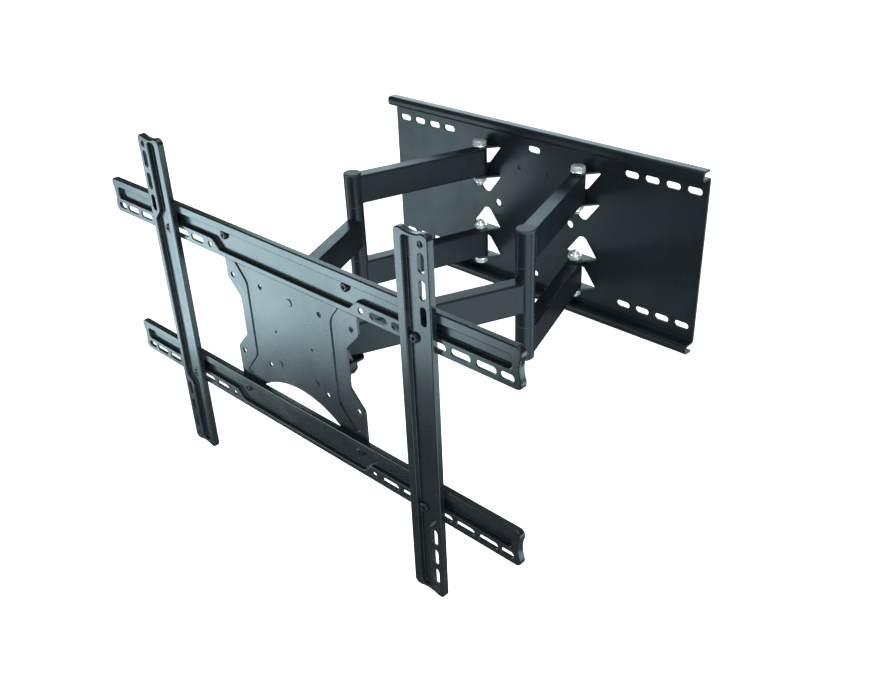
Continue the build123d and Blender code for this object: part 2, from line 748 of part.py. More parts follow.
def build_rail(name, back, half_length, trough_end, slots, holes, notches):
    """A pressed rail on the plane of its back, whose X runs along it and Y towards the bolt side."""
    width = bolt_side + slot_side
    middle = (bolt_side - slot_side) / 2
    lip_depth = rail_depth - rail_sheet
    with BuildPart() as rail:
        with BuildSketch(back) as outline:
            with Locations((0, middle)):
                Rectangle(2 * half_length, width)
            fillet(outline.vertices(), radius=rail_corner)
            hollow = half_length + rail_end_radius - rail_end_sag
            with Locations((-hollow, middle), (hollow, middle)):
                Circle(rail_end_radius, mode=Mode.SUBTRACT)
        extrude(amount=rail_depth)
        front = rail.faces().filter_by(Axis.Y).sort_by(Axis.Y)[0]
        fillet(front.edges(), radius=rail_edge_round)
        with BuildSketch(back) as underside:
            with Locations((0, middle)):
                Rectangle(2 * (half_length - rail_sheet), width - 2 * rail_sheet)
            fillet(underside.vertices(), radius=rail_corner - rail_sheet)
            with Locations((-hollow, middle), (hollow, middle)):
                Circle(rail_end_radius + rail_sheet, mode=Mode.SUBTRACT)
            with BuildSketch(mode=Mode.SUBTRACT):
                add_trough_outline(half_length - trough_end, rail_sheet)
        extrude(amount=lip_depth, mode=Mode.SUBTRACT)
        with BuildSketch(back.offset(rail_depth)):
            add_trough_outline(half_length - trough_end)
        extrude(amount=-lip_depth, taper=trough_draft, mode=Mode.SUBTRACT)
        front = rail.faces().filter_by(Axis.Y).sort_by(Axis.Y)[0]
        fillet(front.inner_wires().edges(), radius=trough_rim_round)
        with BuildSketch(back):
            with Locations((-bolt_pitch, 0), (bolt_pitch, 0)):
                Circle(rail_bolt_radius + hole_clearance)
            for x in notches:
                with Locations((x, rail_notch_line)):
                    SlotOverall(rail_notch_length, rail_notch_width)
            for x, length in slots:
                with Locations((-x, -slot_line), (x, -slot_line)):
                    SlotOverall(length, rail_slot_width)
            for x in holes:
                with Locations((-x, -slot_line), (x, -slot_line)):
                    Circle(rail_hole_radius)
        extrude(amount=rail_depth, mode=Mode.SUBTRACT)
    finish(rail, name)


def build_rails():
    """Two lying rails on the centre plate and two uprights on the rails."""
    slots = [(x, rail_slot_length) for x in rail_slots] + [(rail_end_slot, rail_end_slot_length)]
    for name, level in (("top_rail", 1), ("bottom_rail", -1)):
        back = front_facing_plane(0, centre_front_y, head_z + level * bolt_pitch)
        holes = [rail_near_hole, upright_x]
        build_rail(name, back, rail_half_length, rail_trough_end, slots, holes, [rail_notch_x])
    slots = [(z, upright_slot_length) for z in upright_slots]
    for word, side in sides.items():
        origin = (side * upright_x, rail_front_y, upright_z)
        back = Plane(origin=origin, x_dir=(0, 0, side), z_dir=(0, -1, 0))
        name = word + "_upright"
        build_rail(name, back, upright_half_length, upright_trough_end, slots, [upright_hole], [])


def build_rail_fasteners(bolt_name, nut_name, spots, floor_y, nut_y):
    """Button-head bolts on the floors of the troughs, and their nuts behind the sheet."""
    with BuildPart() as bolts:
        for x, z in spots:
            seat = front_facing_plane(x, floor_y, z)
            add_disc(seat, rail_bolt_head_radius, rail_bolt_head_height)
        crowns = bolts.faces().filter_by(Axis.Y).group_by(Axis.Y)[0]
        fillet(crowns.edges(), radius=rail_bolt_head_round)
        for x, z in spots:
            seat = front_facing_plane(x, floor_y, z)
            crown = seat.offset(rail_bolt_head_height)
            add_disc(seat, rail_bolt_radius, floor_y - nut_y - rail_nut_height - rail_bolt_tail)
            with BuildSketch(crown):
                RegularPolygon(rail_bolt_socket_flats / 2, 6, major_radius=False)
            extrude(amount=-rail_bolt_socket_depth, mode=Mode.SUBTRACT)
    finish(bolts, bolt_name)
    with BuildPart() as nuts:
        for x, z in spots:
            seat = front_facing_plane(x, nut_y, z)
            add_hexagon(seat, rail_nut_flats, -rail_nut_height, rail_bolt_radius + seat_clearance)
    finish(nuts, nut_name)


# ---------------------------------------------------------------- the whole mount

os.makedirs("parts", exist_ok=True)

build_wall_plate()
build_wall_fasteners()

for word, side in sides.items():
    for level_word, level in levels.items():
        build_rear_arm(word + "_" + level_word + "_rear_arm", side, level)
    build_shoulder_bushings(word + "_shoulder_bushings", side)
    build_elbow_pin(word + "_elbow_pin", side)
    build_elbow_caps(word + "_elbow_caps", side)
    build_front_arm(word + "_front_arm", side)
    build_elbow_bushings(word + "_elbow_bushings", side)
build_head_bushings("left_head_bushings", sides["left"], running_clearance)
build_head_bushings("right_head_bushings", sides["right"], open_pivot_clearance)
build_cable_clip()

build_arm_bracket()
build_head_pivot_fasteners()
build_tilt_fasteners()
build_tilt_frame()
build_centre_plate()
build_plate_rivets()
build_rails()

rail_spots = [(x, head_z + z) for x in (-bolt_pitch, bolt_pitch) for z in (-bolt_pitch, bolt_pitch)]
build_rail_fasteners(
    "rail_bolts", "rail_nuts", rail_spots, centre_front_y - rail_sheet, centre_back_y
)
upright_rows = (upright_z - bolt_pitch, upright_z + bolt_pitch)
upright_spots = [(side * upright_x, z) for side in sides.values() for z in upright_rows]
build_rail_fasteners(
    "upright_bolts", "upright_nuts", upright_spots, rail_front_y - rail_sheet, rail_front_y + rail_sheet
)

print("elbow", round(elbow_x, 3), round(elbow_y, 3), "front arm angle", round(front_angle, 3))
print("head pivot", head_pivot_x, round(head_pivot_y, 3), "centre plate front", round(centre_front_y, 3))
print("tilt axis", round(tilt_y, 3), tilt_z, "rail front", round(rail_front_y, 3))
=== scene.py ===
# %% [markdown]
# # A full motion wall mount: finishes, fasteners and light
#
# The mount is bent and pressed from sheet steel, with welded rectangular tubes for arms. Its
# construction is already settled in the frame that this script loads: every plate, arm, rail and pin
# is there at its real size. What is left for Blender is what the eye reads as real: the powder coat
# and its worn edges, lightened also as a painted highlight, the zinc on the bolts, chamfered heads,
# lock nuts, weld beads, and soft studio light. All lengths are in metres.

# %% Load the frame
import math
from collections import namedtuple

import bmesh
import bpy
from mathutils import Matrix, Vector


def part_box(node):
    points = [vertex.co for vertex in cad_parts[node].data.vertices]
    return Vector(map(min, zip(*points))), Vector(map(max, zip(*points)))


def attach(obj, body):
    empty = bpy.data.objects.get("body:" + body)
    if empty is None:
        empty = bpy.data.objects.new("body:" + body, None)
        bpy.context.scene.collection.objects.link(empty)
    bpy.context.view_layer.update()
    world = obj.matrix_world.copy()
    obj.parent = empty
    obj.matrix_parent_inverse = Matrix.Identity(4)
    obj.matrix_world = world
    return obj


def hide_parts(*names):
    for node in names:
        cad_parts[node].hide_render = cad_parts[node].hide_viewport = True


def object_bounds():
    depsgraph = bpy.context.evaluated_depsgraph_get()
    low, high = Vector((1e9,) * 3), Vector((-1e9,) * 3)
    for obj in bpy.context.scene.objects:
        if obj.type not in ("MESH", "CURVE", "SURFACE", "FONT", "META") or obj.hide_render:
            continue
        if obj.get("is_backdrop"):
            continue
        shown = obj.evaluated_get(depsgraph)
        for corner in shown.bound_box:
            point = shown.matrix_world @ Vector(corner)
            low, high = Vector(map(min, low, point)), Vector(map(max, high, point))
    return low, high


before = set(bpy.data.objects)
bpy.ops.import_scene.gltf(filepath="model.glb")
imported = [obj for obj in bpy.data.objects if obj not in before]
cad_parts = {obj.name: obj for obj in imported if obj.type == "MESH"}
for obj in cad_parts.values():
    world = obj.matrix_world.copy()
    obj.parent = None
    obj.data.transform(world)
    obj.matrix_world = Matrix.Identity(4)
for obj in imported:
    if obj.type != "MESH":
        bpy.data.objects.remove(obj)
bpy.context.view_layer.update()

# %% [markdown]
# ## Camera
#
# A mount is best understood from above, in front and a little to one side, so that both the head and
# the folded arms behind it show. The camera is turned about three axes in order: around the upright
# axis to its azimuth, down by its elevation, and last a slight roll about its own line of sight.

# %% Camera
VIEW_AZIMUTH = math.radians(43.9)
VIEW_ELEVATION = math.radians(30.0)
VIEW_ROLL = math.radians(-2.15)
VIEW_PLACE = (0.751, -0.9595, 0.5077)
VIEW_LENS = 38.3
SENSOR_WIDTH = 36.0


def add_camera():
    """Adds the camera at its place, turned by azimuth, elevation and roll."""
    data = bpy.data.cameras.new("view")
    data.lens = VIEW_LENS
    data.sensor_width = SENSOR_WIDTH
    camera = bpy.data.objects.new("view", data)
    bpy.context.scene.collection.objects.link(camera)
    turn = Matrix.Rotation(VIEW_AZIMUTH, 4, "Z")
    nod = Matrix.Rotation(math.pi / 2 - VIEW_ELEVATION, 4, "X")
    roll = Matrix.Rotation(VIEW_ROLL, 4, "Z")
    camera.matrix_world = Matrix.Translation(VIEW_PLACE) @ turn @ nod @ roll
    return camera


bpy.context.scene.camera = add_camera()
print("camera at", VIEW_PLACE, "with a", VIEW_LENS, "mm lens")

# %% [markdown]
# ## Shader maths as Python
#
# A finish is a small sum of patterns. Wiring those sums by hand hides the thought behind them, so one
# class stands for a node's output and turns Python's operators into Math nodes. Writing
# `0.3 + clouds * 0.14` then reads as what it means. A second class holds the material being built.

# %% Sockets that can be added and multiplied
class Socket:
    """One output of a node. Arithmetic on it adds Math nodes to the same finish."""

    def __init__(self, finish, output):
        self.finish = finish
        self.output = output

    def maths(self, operation, first, second):
        return self.finish.node("ShaderNodeMath", {"operation": operation}, {0: first, 1: second})

    def __add__(self, other):
        return self.maths("ADD", self, other)

    def __radd__(self, other):
        return self.maths("ADD", other, self)

    def __sub__(self, other):
        return self.maths("SUBTRACT", self, other)

    def __mul__(self, other):
        return self.maths("MULTIPLY", self, other)


print("a socket can be added, subtracted and multiplied")

# %% A finish under construction
# How far the true and the rounded normal agree where the edge mask starts, and where it is full. The
# mask marks wear, and on the powder coat also a painted highlight along the edges.
EDGE_STARTS = 0.995
EDGE_FULL = 0.8
EDGE_SAMPLES = 6


class Finish:
    """A material whose nodes are added one by one, and whose surface is the Principled shader."""

    def __init__(self, name):
        self.material = bpy.data.materials.new(name)
        self.material.use_nodes = True
        self.tree = self.material.node_tree
        self.surface = self.tree.nodes["Principled BSDF"]
        self.place = self.node("ShaderNodeTexCoord", {}, {}, "Object")

    def node(self, kind, settings, sockets, output=0):
        """Adds a node, sets it up, fills its sockets with values or links, and gives one output."""
        made = self.tree.nodes.new(kind)
        for name, value in settings.items():
            setattr(made, name, value)
        self.fill(made, sockets)
        return Socket(self, made.outputs[output])

    def fill(self, node, sockets):
        """Sets sockets by name or number: a Socket is linked and anything else is a plain value."""
        for name, value in sockets.items():
            if isinstance(value, Socket):
                self.tree.links.new(value.output, node.inputs[name])
            else:
                node.inputs[name].default_value = value

    def noise(self, scale, detail, roughness=0.5):
        """Cloudy noise about 0.5, whose features are about 1 / scale metres across."""
        sockets = {"Vector": self.place, "Scale": scale, "Detail": detail, "Roughness": roughness}
        return self.node("ShaderNodeTexNoise", {}, sockets)

    def spread(self, value, low, high, new_low=0.0, new_high=1.0):
        """Maps a range of values to another, and holds it at the ends."""
        sockets = {"Value": value, 1: low, 2: high, 3: new_low, 4: new_high}
        return self.node("ShaderNodeMapRange", {"interpolation_type": "SMOOTHSTEP"}, sockets)

    def mix(self, amount, first, second):
        """A colour between two colours."""
        return self.node("ShaderNodeMix", {"data_type": "RGBA"}, {0: amount, 6: first, 7: second}, 2)

    def soft_edge(self, radius):
        """The normal as if every edge were rounded, and a mask that is 1 on the sharpest edges."""
        normal = self.node("ShaderNodeBevel", {"samples": EDGE_SAMPLES}, {"Radius": radius})
        flat = self.node("ShaderNodeNewGeometry", {}, {}, "Normal")
        dot = {"operation": "DOT_PRODUCT"}
        agreement = self.node("ShaderNodeVectorMath", dot, {0: normal, 1: flat}, "Value")
        return normal, self.spread(agreement, EDGE_STARTS, EDGE_FULL)

    def bump(self, height, distance, strength, normal):
        """A normal that follows a height, in units of the distance, over a smoother normal."""
        sockets = {"Height": height, "Distance": distance, "Strength": strength, "Normal": normal}
        return self.node("ShaderNodeBump", {}, sockets)


print("an edge is worn where its normals agree by less than", EDGE_STARTS)

# %% [markdown]
# ## Powder coat
#
# Powder is sprayed dry on the steel and melts into a skin about 0.08 mm thick. It is never quite
# flat: it pulls into a fine orange peel, with a finer grain on top. It thins out over a sharp edge,
# where handling polishes it lighter, and that lighter edge colour is also a painted highlight for the
# bright lines that light draws along the edges. So the coat gets two sizes of bump, a soft edge that
# catches light, slow clouds of colour and gloss where the film is thicker or thinner, and a few faint
# scuffs.

# %% Powder coat
COAT_EDGE = 0.0007
PEEL_HEIGHT = 0.00006
PEEL_STRENGTH = 0.3
PEEL_SHARE = 0.75
THIN_FILM = 0.72


def powder_coat(name, colour, worn_and_highlight_colour, smoothest, roughest, specular):
    """Black powder coat with orange peel, uneven gloss, and edges painted lighter, as polished wear and
    as a painted highlight.
    """
    finish = Finish(name)
    rounded, edge = finish.soft_edge(COAT_EDGE)
    peel = finish.noise(420.0, 2.0)
    grain = finish.noise(1900.0, 3.0, 0.6)
    clouds = finish.noise(9.0, 4.0, 0.6)
    patches = finish.noise(55.0, 3.0, 0.55)
    scuffs = finish.spread(finish.noise(160.0, 5.0, 0.75), 0.60, 0.75)
    # Wear and painted highlight: the edge mask, broken into patches, lightens the edges towards the worn
    # colour, which stands partly for polished wear and partly for light caught along the edges.
    lighter_edges = edge * finish.spread(patches, 0.35, 0.65, 0.35, 1.0)
    deep = tuple(THIN_FILM * part for part in colour[:3]) + (1.0,)
    ground = finish.mix(finish.spread(clouds, 0.3, 0.7), deep, colour)
    tint = finish.mix(lighter_edges * 0.8 + scuffs * 0.06, ground, worn_and_highlight_colour)
    roughness = finish.spread(clouds, 0.3, 0.7, smoothest, roughest) + patches * 0.08 - lighter_edges * 0.08
    height = peel * PEEL_SHARE + grain * (1.0 - PEEL_SHARE)
    surface = {
        "Base Color": tint,
        "Roughness": roughness + scuffs * 0.05,
        "Normal": finish.bump(height, PEEL_HEIGHT, PEEL_STRENGTH, rounded),
        "Specular IOR Level": specular,
    }
    finish.fill(finish.surface, surface)
    return finish.material


arm_coat = powder_coat(
    "arm_powder_coat",
    colour=(0.0085, 0.0118, 0.0145, 1.0),
    worn_and_highlight_colour=(0.05, 0.060, 0.067, 1.0),
    smoothest=0.23,
    roughest=0.30,
    specular=0.16,
)
# The head's worn colour is lighter, so that its edges read as brighter lines: edge wear and a painted
# highlight.
head_coat = powder_coat(
    "head_powder_coat",
    colour=(0.0070, 0.0100, 0.0115, 1.0),
    worn_and_highlight_colour=(0.09, 0.11, 0.12, 1.0),
    smoothest=0.17,
    roughest=0.24,
    specular=0.40,
)
print("powder coats:", arm_coat.name, head_coat.name)

# %% [markdown]
# ## Zinc, black oxide and nylon
#
# The pivot bolts and pins are zinc plated: a bright, faintly bluish metal, dulled in patches by its
# passivation, which is a thin chalky skin and not quite a metal to look at. The small rail bolts are
# black oxide, a conversion finish that stays a little oily and wears to grey steel. The bushings, the
# elbow caps and the cable clip are moulded nylon, which is matt and faintly mottled.

# %% Zinc plate
METAL_EDGE = 0.0004
METAL_GRAIN = 0.00002


def zinc_plate():
    """Bright zinc with cloudy passivation and a fine grain."""
    finish = Finish("zinc_plate")
    rounded, edge = finish.soft_edge(METAL_EDGE)
    clouds = finish.spread(finish.noise(140.0, 4.0, 0.6), 0.35, 0.65)
    grain = finish.noise(2600.0, 2.0)
    bluish = (0.80, 0.84, 0.88, 1.0)
    yellowish = (0.86, 0.84, 0.76, 1.0)
    surface = {
        "Base Color": finish.mix(clouds * 0.6 + edge * 0.2, bluish, yellowish),
        "Metallic": 0.7,
        "Roughness": 0.18 + clouds * 0.12 - edge * 0.05,
        "Normal": finish.bump(grain, METAL_GRAIN, 0.4, rounded),
    }
    finish.fill(finish.surface, surface)
    return finish.material


zinc = zinc_plate()
print("bolts and pins:", zinc.name)


# %% Black oxide
def black_oxide():
    """Blackened steel, slightly oily, with grey steel at the worn edges."""
    finish = Finish("black_oxide")
    rounded, edge = finish.soft_edge(METAL_EDGE)
    clouds = finish.spread(finish.noise(220.0, 4.0, 0.6), 0.35, 0.65)
    lighter_edges = edge * finish.spread(finish.noise(600.0, 3.0), 0.4, 0.65)
    black = (0.022, 0.023, 0.026, 1.0)
    steel = (0.30, 0.30, 0.31, 1.0)
    surface = {
        "Base Color": finish.mix(lighter_edges * 0.6, black, steel),
        "Metallic": 0.75 + lighter_edges * 0.25,
        "Roughness": 0.30 + clouds * 0.14,
        "Normal": finish.bump(clouds, METAL_GRAIN, 0.4, rounded),
    }
    finish.fill(finish.surface, surface)
    return finish.material


oxide = black_oxide()
print("small bolts:", oxide.name)

# %% Black nylon
NYLON_EDGE = 0.0005
NYLON_GRAIN = 0.00004


def black_nylon():
    """Moulded black nylon: matt, faintly mottled, with rounded edges."""
    finish = Finish("black_nylon")
    rounded, edge = finish.soft_edge(NYLON_EDGE)
    mottle = finish.noise(700.0, 4.0, 0.6)
    dark = (0.011, 0.014, 0.017, 1.0)
    light = (0.026, 0.032, 0.037, 1.0)
    surface = {
        "Base Color": finish.mix(mottle * 0.6 + edge * 0.4, dark, light),
        "Roughness": 0.48 + mottle * 0.16,
        "Normal": finish.bump(mottle, NYLON_GRAIN, 0.5, rounded),
    }
    finish.fill(finish.surface, surface)
    return finish.material


nylon = black_nylon()
print("bushings, caps and clip:", nylon.name)

# %% [markdown]
# ## Finishes on the frame's own pieces
#
# Plates, tubes, rails and pins already have their true shape, so they keep it and only change their
# finish. One table says which finish each kind of piece has, found by the words in its name. The
# first match counts, and the fasteners that are made again further on need no row.

# %% Finishes by name
FINISH_WORDS = [
    ("bushings", nylon),
    ("elbow_pin", zinc),
    ("elbow_caps", nylon),
    ("cable_clip", nylon),
    ("arm", arm_coat),
    ("wall_plate", arm_coat),
    ("rivets", head_coat),
    ("tilt_frame", head_coat),
    ("centre_plate", head_coat),
    ("rail_bolts", oxide),
    ("upright_bolts", oxide),
    ("rail", head_coat),
    ("upright", head_coat),
]


def finish_frame():
    """Gives every piece of the frame the first finish whose word is in its name, and counts them."""
    finished = 0
    for name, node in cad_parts.items():
        for word, material in FINISH_WORDS:
            if word in name:
                for place in node.material_slots:
                    place.material = material
                finished += 1
                break
    return finished


print("finished", finish_frame(), "pieces of the frame")

# %% [markdown]
# ## Tools for turned and hexagonal pieces
#
# Bolts, nuts and washers are all a turned shape, a hexagon, or both. The tools below work in a
# piece's own upright frame, with the seat at z = 0. Each fastener is then laid on its axis, whose
# place is read from the solid that it stands for. A head's chamfer is cut on a lathe, so it is a cone:
# it meets each flat in a curve. That is modelled by lowering the rim by how far it is from the axis.

# %% Solids of a group
SAME_POINT = 1e-6


def solids(node):
    """The boxes of a node's separate solids, each as its lowest and highest corner."""
    mesh = bmesh.new()
    mesh.from_mesh(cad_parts[node].data)
    bmesh.ops.remove_doubles(mesh, verts=mesh.verts[:], dist=SAME_POINT)
    left = set(mesh.verts)
    boxes = []
    for start in mesh.verts:
        if start not in left:
            continue
        left.remove(start)
        ready = [start]
        corners = []
        while ready:
            vertex = ready.pop()
            corners.append(vertex.co.copy())
            for edge in vertex.link_edges:
                other = edge.other_vert(vertex)
                if other in left:
                    left.remove(other)
                    ready.append(other)
        low = Vector([min(corner[axis] for corner in corners) for axis in range(3)])
        high = Vector([max(corner[axis] for corner in corners) for axis in range(3)])
        boxes.append((low, high))
    mesh.free()
    return boxes


print("wall pivot bolts:", len(solids("wall_pivot_bolts")))


# %% Turned shapes
TURN_STEPS = 48
SAME_PROFILE_POINT = 1e-7
THREAD_DEPTH = 0.5


def turn(mesh, profile, steps=TURN_STEPS):
    """Spins a profile of (radius, height) points about the upright axis into a closed turned shape."""
    points = [mesh.verts.new((radius, 0.0, height)) for radius, height in profile]
    edges = [mesh.edges.new(pair) for pair in zip(points, points[1:])]
    bmesh.ops.spin(
        mesh,
        geom=points + edges,
        cent=(0.0, 0.0, 0.0),
        axis=(0.0, 0.0, 1.0),
        angle=2.0 * math.pi,
        steps=steps,
        use_merge=True,
    )
    bmesh.ops.remove_doubles(mesh, verts=mesh.verts[:], dist=SAME_PROFILE_POINT)


def thread_profile(radius, start, end, pitch):
    """A profile up a threaded shank, as a row of ridges."""
    depth = THREAD_DEPTH * pitch
    turns = max(1, round((end - start) / pitch))
    step = (end - start) / turns
    points = []
    for count in range(turns):
        points.append((radius - depth, start + count * step))
        points.append((radius, start + (count + 0.5) * step))
    points.append((radius - depth, end))
    return points


print("turned pieces have", TURN_STEPS, "steps around")

# %% Hexagonal shapes
CHAMFER_SLOPE = 0.5
CROWN_SHARE = 0.97
FOOT_SHARE = 0.9
CUTS_PER_SIDE = 7


def hexagon(mesh, flats, height, bottom=0.0, bore=0.0, chamfer_foot=False):
    """Adds a hexagon whose corners are turned off to a cone at the top, and at the foot too if asked."""
    made = bmesh.ops.create_circle(mesh, segments=6, radius=flats / math.sqrt(3))
    ring = list(dict.fromkeys(edge for vertex in made["verts"] for edge in vertex.link_edges))
    cut = bmesh.ops.subdivide_edges(mesh, edges=ring, cuts=CUTS_PER_SIDE)
    foot = [edge for edge in cut["geom"] if isinstance(edge, bmesh.types.BMEdge)]
    bmesh.ops.translate(mesh, verts=ring_vertices(foot), vec=(0.0, 0.0, bottom))
    crown = flats / 2.0 * CROWN_SHARE
    upper = raise_ring(mesh, foot, height)
    turn_corners_off(ring_vertices(upper), crown, -CHAMFER_SLOPE)
    top = raise_ring(mesh, upper, 0.0)
    to_circle(ring_vertices(top), crown, bottom + height)
    base = raise_ring(mesh, foot, 0.0)
    if chamfer_foot:
        turn_corners_off(ring_vertices(foot), crown, CHAMFER_SLOPE)
    to_circle(ring_vertices(base), crown if chamfer_foot else flats / 2.0 * FOOT_SHARE, bottom)
    if bore:
        hole = raise_ring(mesh, top, 0.0)
        to_circle(ring_vertices(hole), bore, bottom + height)
        exit_ring = raise_ring(mesh, base, 0.0)
        to_circle(ring_vertices(exit_ring), bore, bottom)
        bmesh.ops.bridge_loops(mesh, edges=hole + exit_ring)
    else:
        bmesh.ops.holes_fill(mesh, edges=top, sides=0)
        bmesh.ops.holes_fill(mesh, edges=base, sides=0)


def ring_vertices(edges):
    """The vertices of a ring of edges, each once and always in the same order."""
    return list(dict.fromkeys(vertex for edge in edges for vertex in edge.verts))


def raise_ring(mesh, ring, height):
    """Extrudes a ring of edges, lifts the new ring and gives its edges."""
    grown = bmesh.ops.extrude_edge_only(mesh, edges=ring)["geom"]
    edges = [item for item in grown if isinstance(item, bmesh.types.BMEdge)]
    verts = [item for item in grown if isinstance(item, bmesh.types.BMVert)]
    bmesh.ops.translate(mesh, verts=verts, vec=(0.0, 0.0, height))
    fresh = set(verts)
    return [edge for edge in edges if edge.verts[0] in fresh and edge.verts[1] in fresh]


def turn_corners_off(verts, crown, slope):
    """Moves each vertex by how far it stands outside the crown's circle, as a conical cut does."""
    for vertex in verts:
        outside = max(0.0, math.hypot(vertex.co.x, vertex.co.y) - crown)
        vertex.co.z += slope * outside


def to_circle(verts, radius, height):
    """Moves vertices along their own directions on to a circle."""
    for vertex in verts:
        scale = radius / math.hypot(vertex.co.x, vertex.co.y)
        vertex.co.x *= scale
        vertex.co.y *= scale
        vertex.co.z = height


print("each side of a hexagon is divided in", CUTS_PER_SIDE + 1)

# %% Finished pieces
SMOOTH_BELOW = math.radians(32.0)


def lay(mesh, seat, direction):
    """Turns everything in a mesh from its upright frame on to an axis, with its seat at a point."""
    turned = Vector(direction).to_track_quat("Z", "Y").to_matrix().to_4x4()
    bmesh.ops.transform(mesh, matrix=Matrix.Translation(seat) @ turned, verts=mesh.verts[:])


def along_axis(axis, way):
    """The unit direction along an axis, forwards or backwards."""
    direction = Vector((0.0, 0.0, 0.0))
    direction[axis] = way
    return direction


def join(target, part):
    """Adds one mesh to another and frees it."""
    scratch = bpy.data.meshes.new("scratch")
    part.to_mesh(scratch)
    part.free()
    target.from_mesh(scratch)
    bpy.data.meshes.remove(scratch)


def piece(name, mesh, material, body, replaced=()):
    """Makes an object of a finished mesh, with its finish, its body and what it stands for."""
    bmesh.ops.recalc_face_normals(mesh, faces=mesh.faces[:])
    data = bpy.data.meshes.new(name)
    mesh.to_mesh(data)
    mesh.free()
    data.materials.append(material)
    data.set_sharp_from_angle(angle=SMOOTH_BELOW)
    for face in data.polygons:
        face.use_smooth = True
    made = bpy.data.objects.new(name, data)
    bpy.context.scene.collection.objects.link(made)
    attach(made, body)
    if replaced:
        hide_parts(*replaced)
    print(name, "has", len(data.polygons), "faces")
    return made


# %% [markdown]
# ## Pivot bolts
#
# A pivot bolt is a hexagon bolt with a washer face under its head and a thread only at its end. Its
# head is a hexagon with a conical crown, and the shank's bearing part is smooth. The same function
# makes the wall pivots, the head pivots and the tilt bolts, because only their sizes differ.

# %% Hexagon bolts
AXIS_X = 0
AXIS_Z = 2
WASHER_FACE = 0.0004
WASHER_FACE_SHARE = 0.94

# One size of bolt with its nut and washer. The shank and the bores are radii, flats is the width of
# head and nut across flats, and head is the head's height. The thread has a length and a pitch. The
# nut's bore is a little less than the shank, so that the thread fills it.
BoltSize = namedtuple("BoltSize", "shank flats head thread pitch nut_bore washer_bore")
M10 = BoltSize(
    shank=0.005,
    flats=0.016,
    head=0.0064,
    thread=0.013,
    pitch=0.0015,
    nut_bore=0.0049,
    washer_bore=0.0053,
)


def hex_bolt(size, length):
    """A hexagon bolt whose head stands on z = 0 and whose shank hangs below it."""
    bolt = bmesh.new()
    shank = size.shank
    hexagon(bolt, size.flats, size.head - WASHER_FACE, bottom=WASHER_FACE)
    head_round = size.flats / 2.0 * WASHER_FACE_SHARE
    turn(bolt, [(0.0, WASHER_FACE), (head_round, WASHER_FACE), (head_round, 0.0), (shank, 0.0)])
    end = THREAD_DEPTH * size.pitch
    profile = [(0.0, -length), (shank - end, -length), (shank, -length + end)]
    profile += thread_profile(shank, -length + end, -length + size.thread, size.pitch)
    profile += [(shank, -length + size.thread + end), (shank, 0.0)]
    turn(bolt, profile)
    return bolt


def bolt_group(name, node, axis, toward, size, body, material=zinc):
    """Bolts for every solid of a node. Toward gives the head's way along the axis for a box's middle."""
    group = bmesh.new()
    for low, high in solids(node):
        middle = (low + high) / 2.0
        way = toward(middle)
        seat = middle.copy()
        seat[axis] = (high[axis] if way > 0 else low[axis]) - way * size.head
        bolt = hex_bolt(size, high[axis] - low[axis] - size.head)
        lay(bolt, seat, along_axis(axis, way))
        join(group, bolt)
    return piece(name, group, material, body, [node])


def outwards(axis):
    """Heads point away from the middle of the mount along the axis."""
    return lambda middle: 1.0 if middle[axis] > 0 else -1.0


def upwards(middle):
    """Heads point up."""
    return 1.0


bolt_group("wall_bolts", "wall_pivot_bolts", AXIS_Z, outwards(AXIS_Z), M10, "wall")
bolt_group("swivel_bolts", "head_pivot_bolts", AXIS_Z, upwards, M10, "bracket")

# %% [markdown]
# ## Lock nuts and washers
#
# A pivot must not work loose as it turns, so its nut is a lock nut: a hexagon with a collar rolled
# over a nylon ring. The collar is a turned shape that grows out of the hexagon's top, and the bolt's
# thread passes through its middle. A washer is a turned ring with edges broken by the punch.

# %% Lock nuts
HEXAGON_SHARE = 0.68
COLLAR_SHARE = 0.86
LIP_SHARE = 0.70
BEND_SHARE = 0.45
BEND_STEPS = 5
COLLAR_SINK = 0.0002
RING_DEPTH = 0.0007


def lock_nut(flats, height, bore):
    """A lock nut that stands on z = 0, with its collar on top, and the ring inside the collar."""
    nut = bmesh.new()
    shoulder = height * HEXAGON_SHARE
    hexagon(nut, flats, shoulder, bore=bore, chamfer_foot=True)
    wall = flats / 2.0 * COLLAR_SHARE
    lip = flats / 2.0 * LIP_SHARE
    bend = (height - shoulder) * BEND_SHARE
    foot = shoulder - COLLAR_SINK
    ring = height - RING_DEPTH
    profile = [(wall, foot), (wall, height - bend)]
    for step in range(1, BEND_STEPS + 1):
        rolled = math.pi / 2 * step / BEND_STEPS
        radius = wall - bend * (1 - math.cos(rolled))
        profile.append((radius, height - bend + bend * math.sin(rolled)))
    profile += [(lip, height), (lip, ring), (bore, ring), (bore, foot), (wall, foot)]
    turn(nut, profile)
    return nut


def nut_group(name, node, axis, toward, size, body):
    """Lock nuts for every solid of a node. Toward gives the collar's way along the axis."""
    group = bmesh.new()
    for low, high in solids(node):
        middle = (low + high) / 2.0
        way = toward(middle)
        seat = middle.copy()
        seat[axis] = low[axis] if way > 0 else high[axis]
        nut = lock_nut(size.flats, high[axis] - low[axis], size.nut_bore)
        lay(nut, seat, along_axis(axis, way))
        join(group, nut)
    return piece(name, group, zinc, body, [node])


def inwards(axis):
    """Collars point to the middle of the mount along the axis."""
    return lambda middle: -1.0 if middle[axis] > 0 else 1.0


def downwards(middle):
    """Collars point down."""
    return -1.0


nut_group("wall_nuts", "wall_pivot_nuts", AXIS_Z, inwards(AXIS_Z), M10, "wall")
nut_group("swivel_nuts", "head_pivot_nuts", AXIS_Z, downwards, M10, "bracket")


# %% Washers
BROKEN_EDGE = 0.0003
BROKEN_SHARE = 0.25


